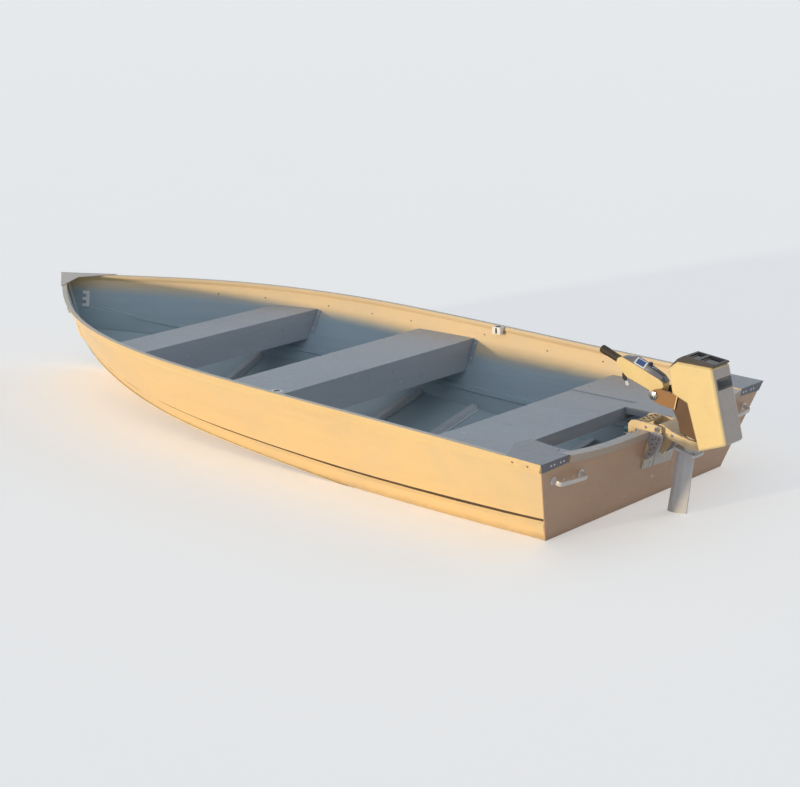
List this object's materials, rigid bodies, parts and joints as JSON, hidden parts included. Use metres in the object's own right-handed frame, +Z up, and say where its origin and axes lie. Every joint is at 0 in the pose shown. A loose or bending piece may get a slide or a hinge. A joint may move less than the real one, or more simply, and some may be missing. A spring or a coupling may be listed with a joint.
{
  "type": "rowing boat",
  "caption": "Open pressed-metal rowing boat afloat, with three thwarts, stern benches, ribbed floor, oarlock sockets and a tiller-steered electric outboard.",
  "frame": {"origin": "on the centre line at the water's surface, below the transom's top corners", "axes": "+X to the bow, +Y to port, +Z up; Z = 0 is the waterline"},
  "size_m": [3.9137, 1.4162, 1.164],
  "materials": {
    "hull_paint": "satin paint over pressed alloy plate",
    "gunwale_alloy": "satin paint, worn to bare metal on the edges",
    "cap_paint": "satin",
    "handle_alloy": "brushed",
    "pad_plastic": "matt",
    "bracket_alloy": "satin",
    "clamp_steel": "brushed",
    "motor_shell": "satin",
    "motor_dark": "matt",
    "grip_rubber": "ribbed, matt",
    "leg_paint": "satin",
    "pod_paint": "satin",
    "propeller_plastic": "satin"
  },
  "bodies": {
    "hull": {"port_hull_side": "hull_paint", "port_hull_bottom": "hull_paint", "port_gunwale": "gunwale_alloy", "port_corner_cap": "cap_paint", "port_quarter_bench": "hull_paint", "port_oarlock_socket": "gunwale_alloy", "port_transom_handle": "handle_alloy", "port_clamp_screw": "clamp_steel", "starboard_hull_side": "hull_paint", "starboard_hull_bottom": "hull_paint", "starboard_gunwale": "gunwale_alloy", "starboard_corner_cap": "cap_paint", "starboard_quarter_bench": "hull_paint", "starboard_oarlock_socket": "gunwale_alloy", "starboard_transom_handle": "handle_alloy", "starboard_clamp_screw": "clamp_steel", "transom": "hull_paint", "transom_cap": "gunwale_alloy", "transom_pad": "pad_plastic", "keel": "hull_paint", "stem": "hull_paint", "bow_plate": "cap_paint", "bow_eye": "handle_alloy", "bow_fitting": "handle_alloy", "bow_seat": "hull_paint", "middle_seat": "hull_paint", "stern_seat": "hull_paint", "floor_rib_1": "hull_paint", "floor_rib_2": "hull_paint", "floor_rib_3": "hull_paint", "floor_rib_4": "hull_paint", "floor_rib_5": "hull_paint", "floor_rib_6": "hull_paint", "clamp_bracket": "bracket_alloy", "tilt_pin": "clamp_steel"},
    "motor_mount": {"swivel_bracket": "bracket_alloy"},
    "motor": {"motor_head": "motor_shell", "motor_lid": "motor_dark", "motor_neck": "motor_dark", "tiller_pin": "clamp_steel", "motor_leg": "leg_paint", "leg_cuff": "leg_paint", "motor_pod": "pod_paint", "skeg": "pod_paint"},
    "tiller": {"tiller_body": "motor_shell", "tiller_top": "motor_dark", "tiller_grip": "grip_rubber"},
    "propeller": {"propeller": "propeller_plastic"}
  },
  "joints": [
    {"name": "motor_tilt", "type": "hinge", "parent": "hull", "child": "motor_mount", "pos_m": [-0.036, 0, 0.322], "axis": [0, 1, 0], "range_deg": [0, 45]},
    {"name": "motor_steering", "type": "hinge", "parent": "motor_mount", "child": "motor", "pos_m": [-0.085, 0, 0], "axis": [-0.225, 0, 0.9744], "range_deg": [-40, 40]},
    {"name": "tiller_fold", "type": "hinge", "parent": "motor", "child": "tiller", "pos_m": [0.00107, 0, 0.44066], "axis": [0, -1, 0], "range_deg": [0, 55]},
    {"name": "propeller_spin", "type": "hinge", "parent": "motor", "child": "propeller", "pos_m": [-0.128, 0, -0.40505], "axis": [0.9744, 0, 0.225], "continuous": true}
  ]
}
